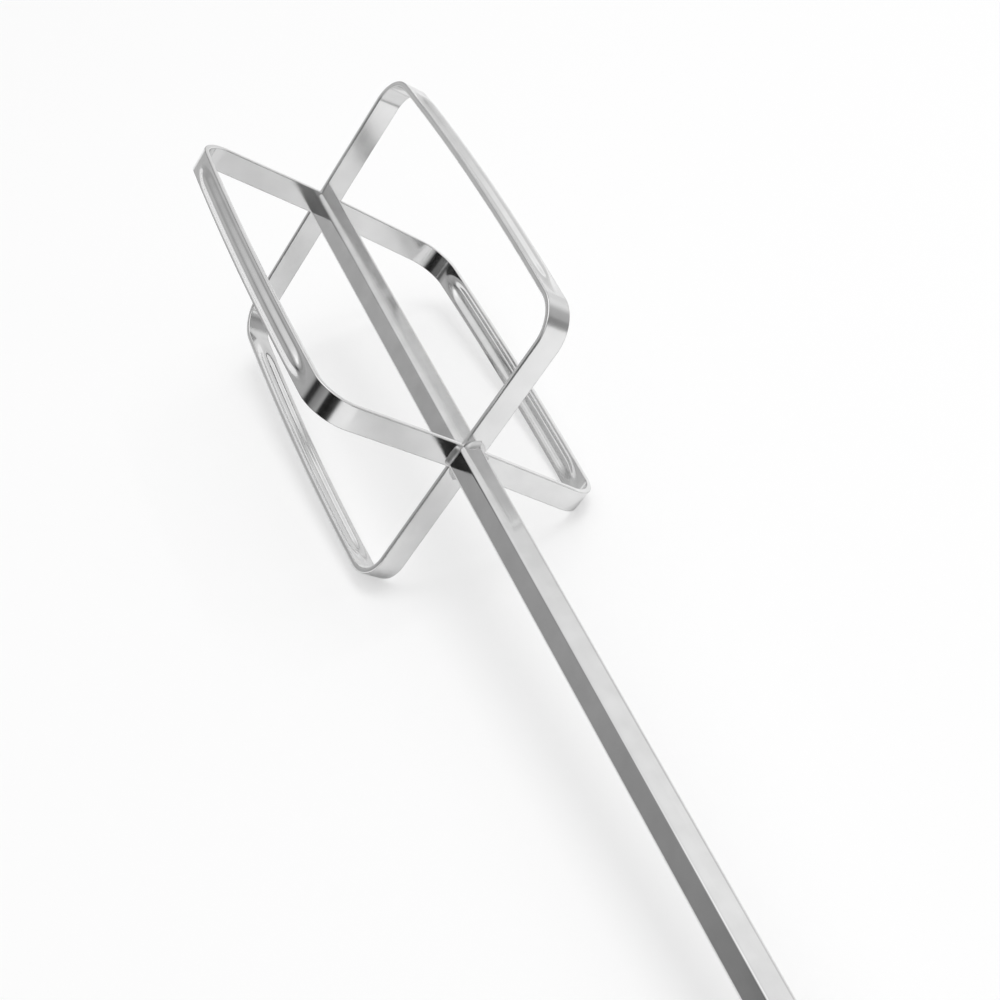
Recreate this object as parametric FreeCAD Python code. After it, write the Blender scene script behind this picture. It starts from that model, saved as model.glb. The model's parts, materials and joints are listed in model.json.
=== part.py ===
import FreeCAD, Part
import os
from math import asin, cos, degrees, pi, radians, sin, sqrt

# Paint mixing paddle, millimetres: a hexagonal steel bar with four wings welded round its head end.
# Each wing is one flat strip bent to a C. Its two arms stand square on the bar, and its outer run
# bows out a little and carries a pressed rib that stiffens it.
# The paddle is first built along its bar, with Z = 0 at the head end and the shank towards +Z,
# and then laid down as it rests on a bench: on two of its wings and on the end of its shank.

# Bar
overall_length = 400.0
hex_across_flats = 8.0
hex_edge_radius = 0.7
shank_chamfer = 1.0

# Wings
head_diameter = 80.0
head_length = 110.0
strip_width = 6.2
strip_thickness = 1.3
strip_edge_bevel = 0.15
bend_radius = 9.0
run_bow = 1.6
# How far each wing was welded off its square place round the bar, in degrees.
weld_turns = (0.7, 0.1, 1.0, -1.8)
# The mitred corners of neighbouring strips are this far from the bar's axis, so they stay apart.
mitre_gap = 0.1

# Rib pressed into the outer run of each wing, and how far its tips stop short of the wing's ends.
# The groove behind it is as deep as the rib is high.
rib_width = 2.9
rib_height = 1.2
rib_foot_bevel = 0.45
groove_width = 2.6
rib_end_inset = 11.0

# Welds
weld_leg = 1.1
cap_weld_width = 2.4
cap_weld_height = 0.5
weld_side_gap = 0.3

head_radius = head_diameter / 2
half_strip = strip_width / 2
hex_corner_reach = hex_across_flats / 2 / cos(pi / 6)
hex_rounding_reach = hex_corner_reach - hex_edge_radius / cos(pi / 6)
shank_end_radius = hex_rounding_reach + hex_edge_radius - shank_chamfer

# The outer run is an arc that passes through the wing's square corners and bows out between them.
run_radius = (head_length / 2) ** 2 / (2 * run_bow) + run_bow / 2
run_centre = (head_radius + run_bow - run_radius, head_length / 2)
bend_rise = head_length / 2 - bend_radius
bend_reach = run_centre[0] + sqrt((run_radius - bend_radius) ** 2 - bend_rise ** 2)
bend_lean = degrees(asin(bend_rise / (run_radius - bend_radius)))
far_bend = (bend_reach, bend_radius)
near_bend = (bend_reach, head_length - bend_radius)

# A strip is drawn from inside the bar outwards, and its ends are then notched to fit the bar.
strip_start = hex_across_flats / 4

# Lying down, the bar touches the bench with the corner that points down between the last two wings.
lowest_hex_corner = 240
settling_rounds = 8


def on_circle(centre, radius, angle):
    """Point of a circle in the wing's plane, where X is the reach from the bar's axis."""
    x = centre[0] + radius * cos(radians(angle))
    z = centre[1] + radius * sin(radians(angle))
    return FreeCAD.Vector(x, 0, z)


def arc(centre, radius, start, end):
    """Arc in the wing's plane, between two angles in degrees."""
    middle = on_circle(centre, radius, (start + end) / 2)
    return Part.Arc(on_circle(centre, radius, start), middle, on_circle(centre, radius, end)).toShape()


def strip_edges(depth):
    """The C of a strip, drawn on its outer face (depth 0) or at a depth below it."""
    radius = bend_radius - depth
    far_end = FreeCAD.Vector(strip_start, 0, depth)
    near_end = FreeCAD.Vector(strip_start, 0, head_length - depth)
    return [
        Part.makeLine(far_end, on_circle(far_bend, radius, -90)),
        arc(far_bend, radius, -90, -bend_lean),
        arc(run_centre, run_radius - depth, -bend_lean, bend_lean),
        arc(near_bend, radius, bend_lean, 90),
        Part.makeLine(on_circle(near_bend, radius, 90), near_end),
    ]


def bent_strip():
    """The plain bent strip, with its four long edges broken."""
    ends = [
        Part.makeLine(FreeCAD.Vector(strip_start, 0, z), FreeCAD.Vector(strip_start, 0, z + strip_thickness))
        for z in (0, head_length - strip_thickness)
    ]
    edges = strip_edges(0) + strip_edges(strip_thickness) + ends
    side = Part.Face(Part.Wire(Part.__sortEdges__(edges)))
    side.translate(FreeCAD.Vector(0, -half_strip, 0))
    strip = side.extrude(FreeCAD.Vector(0, strip_width, 0))
    long_edges = [
        edge for edge in strip.Edges
        if edge.BoundBox.YLength < strip_thickness / 10
        and edge.BoundBox.XMax > strip_start + strip_thickness
    ]
    return strip.makeChamfer(strip_edge_bevel, long_edges).Solids[0]


def rib_section():
    """The rib's outside: one arc, as wide as the rib where it leaves the strip, closed inside the strip."""
    radius = (rib_width ** 2 / 4 + rib_height ** 2) / (2 * rib_height)
    depth = strip_thickness / 4
    half_chord = sqrt(radius ** 2 - (radius - rib_height - depth) ** 2)
    left = run_section_point(-half_chord, -depth)
    right = run_section_point(half_chord, -depth)
    roof = Part.Arc(left, run_section_point(0, rib_height), right).toShape()
    return Part.Face(Part.Wire([roof, Part.makeLine(right, left)]))


def groove_section():
    """The groove behind the rib: one arc that rises from the strip's inner face, open below that face."""
    half = groove_width / 2
    mouth = -strip_thickness
    corners = [
        run_section_point(-half, mouth),
        run_section_point(-half, mouth - strip_thickness),
        run_section_point(half, mouth - strip_thickness),
        run_section_point(half, mouth),
    ]
    edges = [Part.makeLine(corners[i], corners[i + 1]) for i in range(3)]
    edges.append(Part.Arc(corners[3], run_section_point(0, mouth + rib_height), corners[0]).toShape())
    return Part.Face(Part.Wire(edges))


def run_section_point(across, rise):
    """Point of a section at mid run: across the strip's width, and rising from its outer face."""
    return FreeCAD.Vector(head_radius + run_bow + rise, across, head_length / 2)


def swept_along_run(section):
    """A section drawn at mid run, carried along the run and closed by a round dome at each end."""
    rib_half_length = head_length / 2 - rib_end_inset - rib_width / 2
    half_angle = degrees(asin(rib_half_length / run_radius))
    pivot = FreeCAD.Vector(run_centre[0], 0, run_centre[1])
    across = FreeCAD.Vector(0, 1, 0)
    start = section.copy()
    start.rotate(pivot, across, half_angle)
    body = start.revolve(pivot, across, -2 * half_angle)
    middle = FreeCAD.Vector(head_radius, 0, head_length / 2)
    half_space = Part.makeBox(head_diameter, head_diameter, head_diameter, middle - FreeCAD.Vector(
        head_radius, 0, head_radius))
    half_section = section.common(half_space)
    for turn in (half_angle, -half_angle):
        dome = half_section.revolve(middle, FreeCAD.Vector(1, 0, 0), 360)
        dome.rotate(pivot, across, turn)
        body = body.fuse(dome)
    return body


def ribbed_strip():
    """The bent strip with the rib pressed outwards along its run and the groove behind it."""
    strip = bent_strip()
    strip = strip.fuse(swept_along_run(rib_section())).removeSplitter()
    foot = [edge for edge in strip.Edges if not edge.Degenerated and is_rib_foot(edge)]
    strip = strip.makeChamfer(rib_foot_bevel, foot)
    return strip.cut(swept_along_run(groove_section()))


def is_rib_foot(edge):
    """True for an edge where the rib's flank meets the outer face of the run."""
    for point in edge.discretize(5):
        reach = sqrt((point.x - run_centre[0]) ** 2 + (point.z - run_centre[1]) ** 2)
        if abs(reach - run_radius) > rib_foot_bevel / 10 or abs(point.y) > (rib_width + rib_foot_bevel) / 2:
            return False
    return True


def polar(reach, angle, z=0):
    """Point at a reach from the bar's axis, at an angle round it in degrees."""
    return FreeCAD.Vector(reach * cos(radians(angle)), reach * sin(radians(angle)), z)


def hexagon(across_flats):
    """A hexagon with two corners on the X axis, so that two of its flats face along Y."""
    reach = across_flats / 2 / cos(pi / 6)
    return Part.Wire(Part.makePolygon([polar(reach, 60 * i) for i in range(7)]))


def hex_bar():
    """The bar: a hexagon with rounded corners, drawn out along Z, its shank end turned to a chamfer."""
    edges = []
    for corner in range(0, 360, 60):
        start, middle, end = (
            polar(hex_rounding_reach, corner) + polar(hex_edge_radius, corner + turn)
            for turn in (-30, 0, 30))
        next_start = polar(hex_rounding_reach, corner + 60) + polar(hex_edge_radius, corner + 30)
        edges += [Part.Arc(start, middle, end).toShape(), Part.makeLine(end, next_start)]
    bar = Part.Face(Part.Wire(edges)).extrude(FreeCAD.Vector(0, 0, overall_length))
    turned = Part.makeCone(shank_end_radius + overall_length, shank_end_radius, overall_length)
    return bar.common(turned)


def wing_angle(index):
    """Angle of a wing round the bar, in degrees; index 4 is the first wing again, one turn on."""
    return 90 * index + weld_turns[index % 4]


def around_bar(shape, index):
    """Turns a shape from the X direction to its wing's place round the bar."""
    placed = shape.copy()
    placed.rotate(FreeCAD.Vector(0, 0, 0), FreeCAD.Vector(0, 0, 1), wing_angle(index))
    return placed


def wing_sector(index):
    """The space round the bar that is one wing's own: half way to the wing on each side of it."""
    reach = 2 * (head_diameter + run_bow + rib_height)
    apex = polar(mitre_gap, wing_angle(index))
    low = apex + polar(reach, (wing_angle(index - 1) + wing_angle(index)) / 2)
    high = apex + polar(reach, (wing_angle(index) + wing_angle(index + 1)) / 2)
    return Part.Face(Part.makePolygon([apex, low, high, apex])).extrude(FreeCAD.Vector(0, 0, head_length))


def arm_slab(z, height, width):
    """The space over one arm: as wide as given, from the bar's axis outwards."""
    return Part.makeBox(head_radius, width, height, FreeCAD.Vector(0, -width / 2, z))


def hex_cone(across_flats, z, far_across_flats, far_z):
    """A hexagonal solid between two heights, with its own width across flats at each."""
    wires = []
    for width, height in ((across_flats, z), (far_across_flats, far_z)):
        wire = hexagon(width)
        wire.translate(FreeCAD.Vector(0, 0, height))
        wires.append(wire)
    return Part.makeLoft(wires, True, True)


def weld_beads(index, bar):
    """Two welds of a wing: a fillet in the corner over its near arm, and a low cap over its far joint."""
    width = strip_width - 2 * weld_side_gap
    cone = hex_cone(hex_across_flats + 2 * weld_leg, head_length, hex_across_flats, head_length + weld_leg)
    fillet = cone.common(around_bar(arm_slab(head_length, weld_leg, width), index)).cut(bar)
    base = cap_weld_width
    crest = cap_weld_width / 2
    outside = hex_cone(hex_across_flats + base, 0, hex_across_flats + crest, -cap_weld_height)
    inside = hex_cone(hex_across_flats - base, 0, hex_across_flats - crest, -cap_weld_height)
    cap = outside.cut(inside).common(around_bar(arm_slab(-cap_weld_height, cap_weld_height, width), index))
    return [fillet, cap]


def lowest_point(index, side, down):
    """Point of a wing's near bend that lies furthest down, at the strip's edge on the side given."""
    outwards = polar(1, wing_angle(index))
    along_width = polar(side, wing_angle(index) + 90)
    push = FreeCAD.Vector(down.dot(outwards), 0, down.z).normalize()
    corners = []
    for radius, across in (
        (bend_radius, half_strip - strip_edge_bevel),
        (bend_radius - strip_edge_bevel, half_strip),
    ):
        point = outwards * (near_bend[0] + radius * push.x) + along_width * across
        point.z = near_bend[1] + radius * push.z
        corners.append(point)
    return max(corners, key=down.dot)


def floor_plane():
    """Point and downward normal of the plane on which the paddle lies: two near bends and the shank end.

    The points that touch depend on the plane, and the plane on them, so a few rounds settle both.
    """
    down = FreeCAD.Vector(-1, -1, 0).normalize()
    for _ in range(settling_rounds):
        first = lowest_point(2, 1, down)
        second = lowest_point(3, -1, down)
        outwards = FreeCAD.Vector(down.x, down.y, 0).normalize()
        shank = polar(hex_rounding_reach, lowest_hex_corner) + outwards * hex_edge_radius
        shank.z = overall_length - (shank.Length - shank_end_radius)
        normal = (second - first).cross(shank - first).normalize()
        down = normal if normal.dot(down) > 0 else normal * -1
    return first, down


def resting_placement():
    """Turns the paddle so that its floor plane is level and its bar runs along X, shank towards +X."""
    contact, down = floor_plane()
    up = down * -1
    along = FreeCAD.Vector(0, 0, 1)
    along = (along - up * along.dot(up)).normalize()
    across = up.cross(along)
    return FreeCAD.Matrix(
        along.x, along.y, along.z, 0, across.x, across.y, across.z, 0, up.x, up.y, up.z, -up.dot(contact))


def build():
    """Every piece of the paddle, lying at rest."""
    bar = hex_bar()
    pieces = {"hex_shaft": bar}
    blank = ribbed_strip()
    welds = []
    for index in range(4):
        strip = around_bar(blank, index).common(wing_sector(index)).cut(bar)
        pieces["wing_strip_%d" % (index + 1)] = strip
        welds += weld_beads(index, bar)
    pieces["weld_beads"] = Part.makeCompound(welds)
    turn = resting_placement()
    laid = {name: shape.transformed(turn, True) for name, shape in pieces.items()}
    box = Part.makeCompound(list(laid.values())).optimalBoundingBox(False, False)
    to_origin = FreeCAD.Vector(-box.Center.x, -box.Center.y, 0)
    for shape in laid.values():
        shape.translate(to_origin)
    return laid


os.makedirs("parts", exist_ok=True)
for name, shape in build().items():
    shape.exportStep("parts/%s.step" % name)
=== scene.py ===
import json
import math

import bpy
from mathutils import Matrix, Vector, noise


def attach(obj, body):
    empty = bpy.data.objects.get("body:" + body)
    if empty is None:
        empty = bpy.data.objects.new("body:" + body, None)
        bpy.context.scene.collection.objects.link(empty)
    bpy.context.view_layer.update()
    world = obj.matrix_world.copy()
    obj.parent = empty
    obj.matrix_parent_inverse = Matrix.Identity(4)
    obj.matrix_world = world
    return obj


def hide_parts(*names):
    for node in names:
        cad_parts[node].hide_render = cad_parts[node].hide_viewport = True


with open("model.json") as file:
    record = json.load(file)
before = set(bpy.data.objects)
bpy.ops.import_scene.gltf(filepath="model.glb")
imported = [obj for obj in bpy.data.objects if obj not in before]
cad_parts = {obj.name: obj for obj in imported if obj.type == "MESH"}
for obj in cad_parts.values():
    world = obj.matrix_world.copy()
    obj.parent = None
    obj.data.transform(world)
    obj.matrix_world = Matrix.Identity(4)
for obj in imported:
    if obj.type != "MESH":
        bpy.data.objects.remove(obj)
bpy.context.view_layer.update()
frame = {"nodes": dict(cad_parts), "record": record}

# The view: the camera stands over the shank and looks back and down at the head of the paddle.
# Its lens is given for a 36 mm wide frame, and the frame is raised a little on it.
camera_data = bpy.data.cameras.new("camera")
camera_data.sensor_width = 36.0
camera_data.lens = 62.6
camera_data.shift_y = 0.12
camera_data.clip_start = 0.01
camera = bpy.data.objects.new("camera", camera_data)
bpy.context.collection.objects.link(camera)
camera.location = (0.21119, -0.06143, 0.26752)
camera.rotation_euler = (math.radians(46.195), math.radians(9.159), math.radians(69.784))
bpy.context.scene.camera = camera
bpy.context.scene.view_settings.view_transform = "Standard"

# The studio tent: dim grey near the bench and bright overhead, which the steel mirrors. Soft patches make
# it lighter or darker: the opening where the photographer stands is nearly black. The camera sees it white.
sky = bpy.data.worlds.new("tent")
sky.use_nodes = True
bpy.context.scene.world = sky
sky_nodes, sky_links = sky.node_tree.nodes, sky.node_tree.links
heading = sky_nodes.new("ShaderNodeSeparateXYZ")
sky_links.new(sky_nodes.new("ShaderNodeTexCoord").outputs["Generated"], heading.inputs[0])


def sky_math(operation, first, second=None):
    """A Math node of the sky, fed by numbers or by other nodes' outputs."""
    node = sky_nodes.new("ShaderNodeMath")
    node.operation = operation
    for socket, value in zip(node.inputs, (first, second)):
        if isinstance(value, (int, float)):
            socket.default_value = value
        elif value is not None:
            sky_links.new(value, socket)
    return node.outputs[0]


def set_range(node, before, after):
    """Makes a Map Range node turn the span before, given by its two ends, into the span after."""
    for socket, value in zip(("From Min", "From Max", "To Min", "To Max"), before + after):
        node.inputs[socket].default_value = value


def near_angle(angle, centre, half_width, softness):
    """1 within half_width degrees of the centre, fading to 0 over softness degrees more."""
    fade = sky_nodes.new("ShaderNodeMapRange")
    fade.interpolation_type = "SMOOTHSTEP"
    sky_links.new(sky_math("ABSOLUTE", sky_math("SUBTRACT", angle, centre)), fade.inputs["Value"])
    set_range(fade, (half_width, half_width + softness), (1, 0))
    return fade.outputs[0]


azimuth = sky_math("DEGREES", sky_math("ARCTAN2", heading.outputs["Y"], heading.outputs["X"]))
elevation = sky_math("DEGREES", sky_math("ARCSINE", heading.outputs["Z"]))
rise = sky_nodes.new("ShaderNodeFloatCurve")
sky_links.new(sky_math("DIVIDE", sky_math("ADD", elevation, 90), 180), rise.inputs["Value"])
brightness_by_elevation = (
    (-90, 0.70), (-25, 0.70), (0, 0.46), (15, 0.42), (30, 0.40), (38, 0.54),
    (44, 0.72), (50, 0.86), (56, 0.95), (62, 1.15), (70, 1.30), (90, 1.30))
# Both axes of the curve run from 0 to 1, so its top stands for this brightness.
curve_top = 2
knots = [((angle + 90) / 180, value / curve_top) for angle, value in brightness_by_elevation]
curve = rise.mapping.curves[0]
curve.points[0].location, curve.points[1].location = knots[0], knots[-1]
for knot in knots[1:-1]:
    curve.points.new(*knot)
rise.mapping.update()
brightness = sky_math("MULTIPLY", rise.outputs[0], curve_top)
soft_patches = (
    # centre azimuth and elevation, half width and height, softness of each, factor at the centre
    (-48.5, 8, 13, 14, 4, 10, 0.02),
    (-104, 21, 6, 4, 11, 7, 0.09),
    (-85, 29, 22, 5, 14, 8, 0.35),
    (-122, 14, 8, 8, 16, 12, 0.75),
    (-142, 8, 12, 8, 10, 8, 1.18),
    (-140, 22, 12, 6, 8, 6, 1.20),
    (-132, 44, 20, 9, 6, 6, 0.62),
    (62, 2, 6, 5, 7, 10, 0.60),
    (100, 8, 14, 6, 10, 8, 1.10),
    (44, 32, 6, 8, 10, 10, 3.00),
    (132, 20, 24, 18, 20, 14, 1.80),
    (149, 32, 4, 3, 3, 3, 1.20),
)
for centre, height, half_width, half_height, side_fade, top_fade, factor in soft_patches:
    inside = sky_math(
        "MULTIPLY", near_angle(azimuth, centre, half_width, side_fade),
        near_angle(elevation, height, half_height, top_fade))
    change = sky_math("MULTIPLY", inside, factor - 1)
    brightness = sky_math("MULTIPLY", brightness, sky_math("ADD", 1, change))
seen = sky_nodes.new("ShaderNodeMix")
sky_links.new(sky_nodes.new("ShaderNodeLightPath").outputs["Is Camera Ray"], seen.inputs["Factor"])
sky_links.new(brightness, seen.inputs["A"])
seen.inputs["B"].default_value = 1.0
sky_links.new(seen.outputs["Result"], sky_nodes["Background"].inputs["Strength"])
sky_nodes["Background"].inputs["Color"].default_value = (1, 1, 1, 1)

# White paper on the bench, which ends just beyond the shank. It glows a little to the camera, as an
# overexposed white does, so the shadows on it stay pale while the steel mirrors them at full depth.
paper_width, paper_end, paper_glow = 1.6, 0.27, 0.5
bpy.ops.object.select_all(action="DESELECT")
bpy.ops.mesh.primitive_plane_add(size=paper_width, location=(paper_end - paper_width / 2, 0, 0))
paper = bpy.context.object
paper.name = "paper"
white = bpy.data.materials.new("white_paper")
white.use_nodes = True
white_nodes, white_links = white.node_tree.nodes, white.node_tree.links
matt = white_nodes["Principled BSDF"]
matt.inputs["Base Color"].default_value = (0.9, 0.9, 0.9, 1)
matt.inputs["Roughness"].default_value = 1.0
matt.inputs["Specular IOR Level"].default_value = 0.0
glow = white_nodes.new("ShaderNodeEmission")
lift = white_nodes.new("ShaderNodeMath")
lift.operation = "MULTIPLY"
lift.inputs[1].default_value = paper_glow
blend = white_nodes.new("ShaderNodeMixShader")
white_links.new(white_nodes.new("ShaderNodeLightPath").outputs["Is Camera Ray"], lift.inputs[0])
white_links.new(lift.outputs[0], blend.inputs["Fac"])
white_links.new(matt.outputs[0], blend.inputs[1])
white_links.new(glow.outputs[0], blend.inputs[2])
white_links.new(blend.outputs[0], white_nodes["Material Output"].inputs["Surface"])
paper.data.materials.append(white)

# One soft box high on the far side, which throws the paddle's soft shadow towards the near side.
softbox = bpy.data.lights.new("softbox", "AREA")
softbox.shape = "SQUARE"
softbox.size = 0.6
softbox.energy = 5.6
softbox_stand = bpy.data.objects.new("softbox", softbox)
bpy.context.collection.objects.link(softbox_stand)
softbox_stand.location = (-0.08, 0.4, 1.3)
softbox_stand.rotation_euler = (math.radians(-17), 0, 0)
softbox_stand.visible_glossy = False

# The drive bar: one 8 mm hexagonal bar of drawn steel, bright plated, with its drawing lines along it.
# It keeps its construction mesh, and the record's shank mount gives its end and its direction.
bar_length, hex_across_flats, hex_edge_radius = 0.400, 0.008, 0.0007
shank_end = frame["record"]["mounts"][0]
along_bar = Vector(shank_end["axis"]).normalized()
bar_slope = math.asin(-along_bar.z)
clouds_per_metre, usual_noise = 160.0, (0.3, 0.7)


def plated_steel(name, coordinate, turned, streak, tones, gloss, depth):
    """Bright zinc plate over steel whose streaks run along the X of the coordinates once turned.

    A streak's length and widths are in the coordinates' units. The tones are the darkest and lightest
    grey, the gloss is the least and most roughness, and the depth is that of the streaks, in metres.
    """
    material = bpy.data.materials.new(name)
    material.use_nodes = True
    nodes, links = material.node_tree.nodes, material.node_tree.links
    plate = nodes["Principled BSDF"]
    plate.inputs["Metallic"].default_value = 1.0
    place = nodes.new("ShaderNodeMapping")
    place.vector_type = "TEXTURE"
    place.inputs["Rotation"].default_value = turned
    place.inputs["Scale"].default_value = streak
    links.new(nodes.new("ShaderNodeTexCoord").outputs[coordinate], place.inputs["Vector"])
    streaks = nodes.new("ShaderNodeTexNoise")
    streaks.inputs["Scale"].default_value = 1.0
    streaks.inputs["Detail"].default_value = 3.0
    links.new(place.outputs[0], streaks.inputs["Vector"])
    clouds = nodes.new("ShaderNodeTexNoise")
    clouds.inputs["Scale"].default_value = clouds_per_metre
    clouds.inputs["Detail"].default_value = 2.0
    links.new(nodes.new("ShaderNodeTexCoord").outputs["Object"], clouds.inputs["Vector"])
    for pattern, socket, ends in ((streaks, "Roughness", gloss), (clouds, "Base Color", tones)):
        spread = nodes.new("ShaderNodeMapRange")
        set_range(spread, usual_noise, ends)
        links.new(pattern.outputs["Fac"], spread.inputs["Value"])
        links.new(spread.outputs[0], plate.inputs[socket])
    relief = nodes.new("ShaderNodeBump")
    relief.inputs["Strength"].default_value = 1.0
    relief.inputs["Distance"].default_value = depth
    links.new(streaks.outputs["Fac"], relief.inputs["Height"])
    links.new(relief.outputs[0], plate.inputs["Normal"])
    return material


bar_plate = plated_steel(
    "drawn_bar_plate", "Object", turned=(0, bar_slope, 0), streak=(0.03, 0.0003, 0.0003),
    tones=(0.66, 0.72), gloss=(0.07, 0.14), depth=2e-6)
frame["nodes"]["hex_shaft"].data.materials.clear()
frame["nodes"]["hex_shaft"].data.materials.append(bar_plate)

# The four wings: strips of flat steel, 6.2 by 1.3 mm, each pressed with a stiffening rib along its outer
# run, bent to a C and notched over the bar. They are made standing on the head end, with the bar up Z,
# and then laid down as the paddle rests: rolled about the bar until two wings carry it.
head_radius, head_length = 0.040, 0.110
strip_width, strip_thickness, strip_edge = 0.0062, 0.0013, 0.00027
bend_radius, run_bow = 0.009, 0.0016
run_radius = head_length ** 2 / (8 * run_bow) + run_bow / 2
run_centre = head_radius + run_bow - run_radius
bend_rise = head_length / 2 - bend_radius
bend_reach = run_centre + math.sqrt((run_radius - bend_radius) ** 2 - bend_rise ** 2)
bend_lean = math.asin(bend_rise / (run_radius - bend_radius))
run_half, bend_length = run_radius * bend_lean, bend_radius * (math.pi / 2 - bend_lean)
# The arms are made reaching into the bar, and the notch cuts them back to its faces.
arm_length = bend_reach - hex_across_flats / 4
rib_height, rib_end_inset, rib_end_stretch = 0.0012, 0.0195, 4
rib_half = run_radius * math.asin((head_length / 2 - rib_end_inset) / run_radius)
# The radii of the crest and of the foot, of the rib outside and of the groove behind it.
rib_radii, groove_radii = (0.0020, 0.0017), (0.0021, 0.0020)
cells_along, cells_across = 480, 40
smooth_below = math.radians(50)
roll = math.radians(45.4)
level = Vector((0, 1, 0))
upright = along_bar.cross(level)
lie_down = Matrix((
    level * math.cos(roll) + upright * math.sin(roll),
    upright * math.cos(roll) - level * math.sin(roll),
    along_bar)).transposed().to_4x4()
lie_down.translation = Vector(shank_end["pos_m"]) - along_bar * bar_length


def pressed(distance, crest, foot):
    """Rise of the pressing at a distance from its middle line: a round crest, then a round foot."""
    steepest = math.acos(1 - rib_height / (crest + foot))
    if distance < crest * math.sin(steepest):
        return rib_height - crest + math.sqrt(crest ** 2 - distance ** 2)
    inside = (crest + foot) * math.sin(steepest) - distance
    return foot - math.sqrt(foot ** 2 - inside ** 2) if inside > 0 else 0.0


def bent(flat):
    """Where bending takes a point of the flat blank, whose outer face is at Z = 0 and middle at X = 0."""
    travel = abs(flat.x)
    if travel < run_half:
        centre, radius, turn = (run_centre, 0), run_radius, travel / run_radius
    elif travel < run_half + bend_length:
        centre, radius = (bend_reach, bend_rise), bend_radius
        turn = bend_lean + (travel - run_half) / bend_radius
    else:
        centre, radius = (bend_reach + run_half + bend_length - travel, bend_rise), bend_radius
        turn = math.pi / 2
    reach = centre[0] + (radius + flat.z) * math.cos(turn)
    height = centre[1] + (radius + flat.z) * math.sin(turn)
    return Vector((reach, flat.y, head_length / 2 + math.copysign(height, flat.x)))


def make_active(piece):
    """Selects one object alone, so that the operators act on it and on nothing else."""
    bpy.ops.object.select_all(action="DESELECT")
    piece.select_set(True)
    bpy.context.view_layer.objects.active = piece


def select_edges(piece, wanted):
    """Leaves the piece in edit mode with only the edges selected whose two ends pass the test."""
    make_active(piece)
    bpy.ops.object.mode_set(mode="EDIT")
    bpy.ops.mesh.select_mode(type="EDGE")
    bpy.ops.mesh.select_all(action="DESELECT")
    bpy.ops.object.mode_set(mode="OBJECT")
    for edge in piece.data.edges:
        edge.select = wanted(*(piece.data.vertices[i].co for i in edge.vertices))
    bpy.ops.object.mode_set(mode="EDIT")


bpy.ops.object.select_all(action="DESELECT")
bpy.ops.mesh.primitive_grid_add(x_subdivisions=cells_along, y_subdivisions=cells_across, size=1)
blank = bpy.context.object
bpy.ops.object.mode_set(mode="EDIT")
bpy.ops.mesh.select_all(action="SELECT")
bpy.ops.transform.resize(value=(2 * (run_half + bend_length + arm_length), strip_width, 1))
bpy.ops.mesh.extrude_region_move(TRANSFORM_OT_translate={"value": (0, 0, -strip_thickness)})
bpy.ops.mesh.select_all(action="SELECT")
bpy.ops.mesh.normals_make_consistent(inside=False)
bpy.ops.object.mode_set(mode="OBJECT")
select_edges(blank, lambda a, b: (
    abs(a.x - b.x) > strip_edge and min(abs(a.y), abs(b.y)) > (strip_width - strip_edge) / 2))
bpy.ops.mesh.bevel(offset=strip_edge, segments=3)
bpy.ops.object.mode_set(mode="OBJECT")
for vertex in blank.data.vertices:
    outside = vertex.co.z > -strip_thickness / 2
    distance = math.hypot(max(abs(vertex.co.x) - rib_half, 0) / rib_end_stretch, vertex.co.y)
    vertex.co.z += pressed(distance, *(rib_radii if outside else groove_radii))
    vertex.co = bent(vertex.co)

# The notching tool is a length of the bar itself.
bpy.ops.object.select_all(action="DESELECT")
bpy.ops.mesh.primitive_cylinder_add(
    vertices=6, radius=hex_across_flats / 2 / math.cos(math.pi / 6), depth=2 * head_length,
    rotation=(0, 0, math.pi / 6))
notcher = bpy.context.object
bpy.ops.object.transform_apply()
select_edges(notcher, lambda a, b: abs(a.z - b.z) > head_length)
bpy.ops.mesh.bevel(offset=hex_edge_radius * math.tan(math.pi / 6), segments=4)
bpy.ops.object.mode_set(mode="OBJECT")

strip_plate = plated_steel(
    "strip_plate", "UV", turned=(0, 0, 0), streak=(0.2, 0.02, 1),
    tones=(0.76, 0.82), gloss=(0.12, 0.18), depth=5e-7)

# Each wing is welded on a little off its quarter turn, by these degrees, and mitred halfway to each
# neighbour with a small gap.
weld_turns = (0.7, 0.1, 1.0, -1.8)
wing_angles = [math.radians(90 * i + turn) for i, turn in enumerate(weld_turns)]
mitre_gap = 0.0001
for index, angle in enumerate(wing_angles):
    wing = bpy.data.objects.new("ribbed_wing_%d" % (index + 1), blank.data.copy())
    bpy.context.collection.objects.link(wing)
    wing.data.transform(Matrix.Rotation(angle, 4, "Z"))
    make_active(wing)
    apex = Vector((math.cos(angle), math.sin(angle), 0)) * mitre_gap
    for side in (-1, 1):
        neighbour = wing_angles[(index + side) % 4]
        half_way = (angle + neighbour + (0 if 0 <= index + side < 4 else side * 2 * math.pi)) / 2
        bpy.ops.object.mode_set(mode="EDIT")
        bpy.ops.mesh.select_all(action="SELECT")
        bpy.ops.mesh.bisect(
            plane_co=apex, plane_no=(-side * math.sin(half_way), side * math.cos(half_way), 0),
            use_fill=True, clear_outer=True)
        bpy.ops.object.mode_set(mode="OBJECT")
    notch = wing.modifiers.new("notch", "BOOLEAN")
    notch.object = notcher
    notch.operation = "DIFFERENCE"
    bpy.ops.object.modifier_apply(modifier=notch.name)
    wing.data.validate()
    wing.data.transform(lie_down)
    bpy.ops.object.shade_smooth_by_angle(angle=smooth_below)
    even = wing.modifiers.new("even", "WEIGHTED_NORMAL")
    even.keep_sharp = True
    bpy.ops.object.modifier_apply(modifier=even.name)
    wing.data.materials.clear()
    wing.data.materials.append(strip_plate)
    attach(wing, "root")
    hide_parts("wing_strip_%d" % (index + 1))
bpy.data.objects.remove(blank)
bpy.data.objects.remove(notcher)

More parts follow.
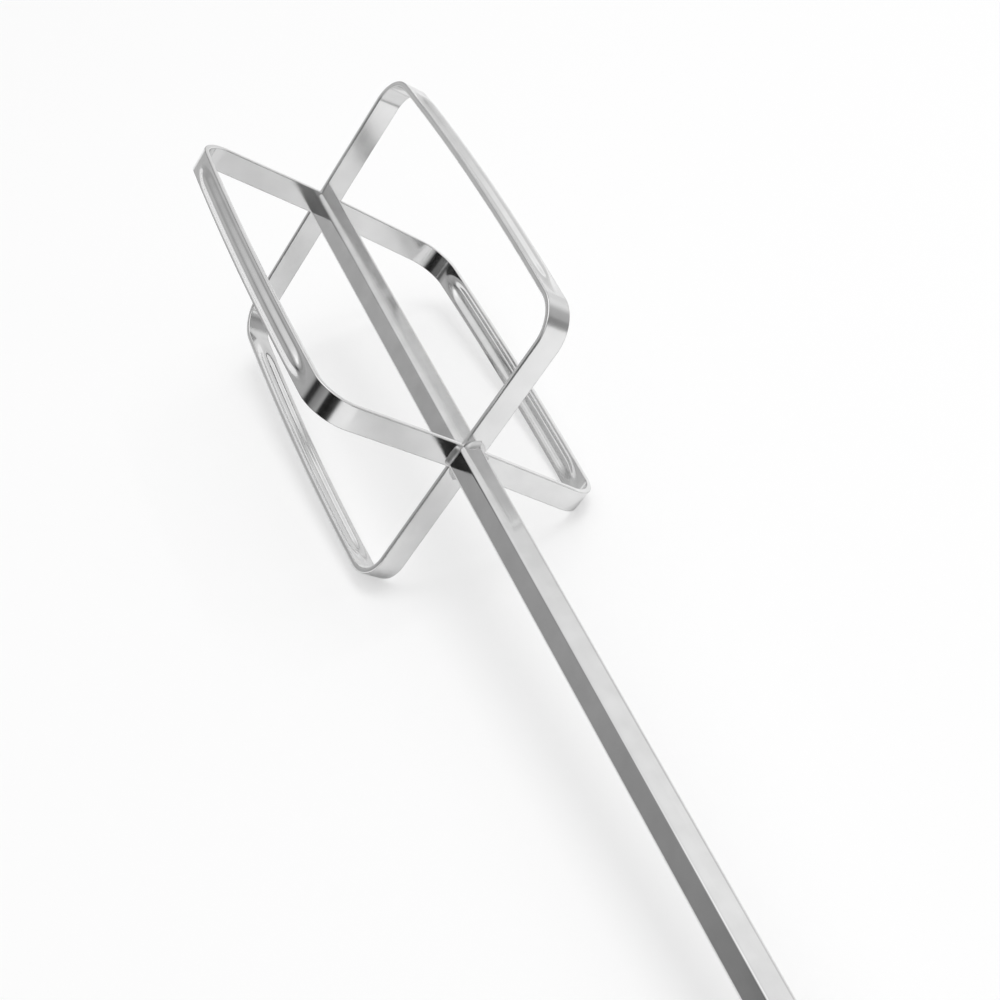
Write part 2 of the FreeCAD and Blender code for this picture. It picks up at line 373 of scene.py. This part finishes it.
# The welds: a fillet over each near arm and a low cap over each far joint, laid by hand, so their
# ripples are uneven, and plated over with the rest.
seam_half, fillet_leg = 0.0028, 0.0010
cap_half_width, cap_height = 0.0012, 0.0005
# How much the ripple changes a seam, and how fast it runs along one, from one to another and round one.
ripple_share, ripples_along, ripples_between, ripples_round = 0.15, 500, 3, 0.25
# Powers: a high fullness keeps a seam whole until near its ends; a fillet is round at 1 and flat at 2.
end_fullness, fillet_flatness = 8, 1.6
seams = []
for angle in wing_angles:
    for near in (False, True):
        bpy.ops.object.select_all(action="DESELECT")
        bpy.ops.mesh.primitive_grid_add(x_subdivisions=56, y_subdivisions=28, size=2)
        seam = bpy.context.object
        seams.append(seam)
        for vertex in seam.data.vertices:
            across, round_seam = vertex.co.x * seam_half, (vertex.co.y + 1) * math.pi
            ripple = noise.noise(Vector((
                across * ripples_along, angle * ripples_between + near, round_seam * ripples_round)))
            size = (1 - vertex.co.x ** end_fullness) * (1 + ripple_share * ripple)
            if near:
                out = fillet_leg * size * max(math.cos(round_seam), 0) ** fillet_flatness
                up = head_length + fillet_leg * size * max(math.sin(round_seam), 0) ** fillet_flatness
            else:
                out = cap_half_width * size * math.cos(round_seam)
                up = -cap_height * size * max(math.sin(round_seam), 0)
            # The bar's reach depends on the turn and the turn on the reach, so a few rounds find them both.
            turn = angle
            for _ in range(6):
                from_flat = turn % (math.pi / 3) - math.pi / 6
                reach = (hex_across_flats / 2 + out) / math.cos(from_flat)
                turn = angle + math.asin(across / reach)
            vertex.co = lie_down @ Vector((reach * math.cos(turn), reach * math.sin(turn), up))
bpy.ops.object.select_all(action="DESELECT")
for seam in seams:
    seam.select_set(True)
bpy.context.view_layer.objects.active = seams[0]
bpy.ops.object.join()
welds = bpy.context.object
welds.name = "weld_seams"
bpy.ops.object.mode_set(mode="EDIT")
bpy.ops.mesh.select_all(action="SELECT")
bpy.ops.mesh.remove_doubles(threshold=1e-6)
bpy.ops.mesh.normals_make_consistent(inside=False)
bpy.ops.object.mode_set(mode="OBJECT")
bpy.ops.object.shade_smooth_by_angle(angle=smooth_below)
weld_plate = plated_steel(
    "weld_plate", "Object", turned=(0, 0, 0), streak=(0.0009, 0.0009, 0.0009),
    tones=(0.54, 0.66), gloss=(0.30, 0.42), depth=2e-5)
welds.data.materials.clear()
welds.data.materials.append(weld_plate)
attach(welds, "root")
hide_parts("weld_beads")

bpy.context.view_layer.update()
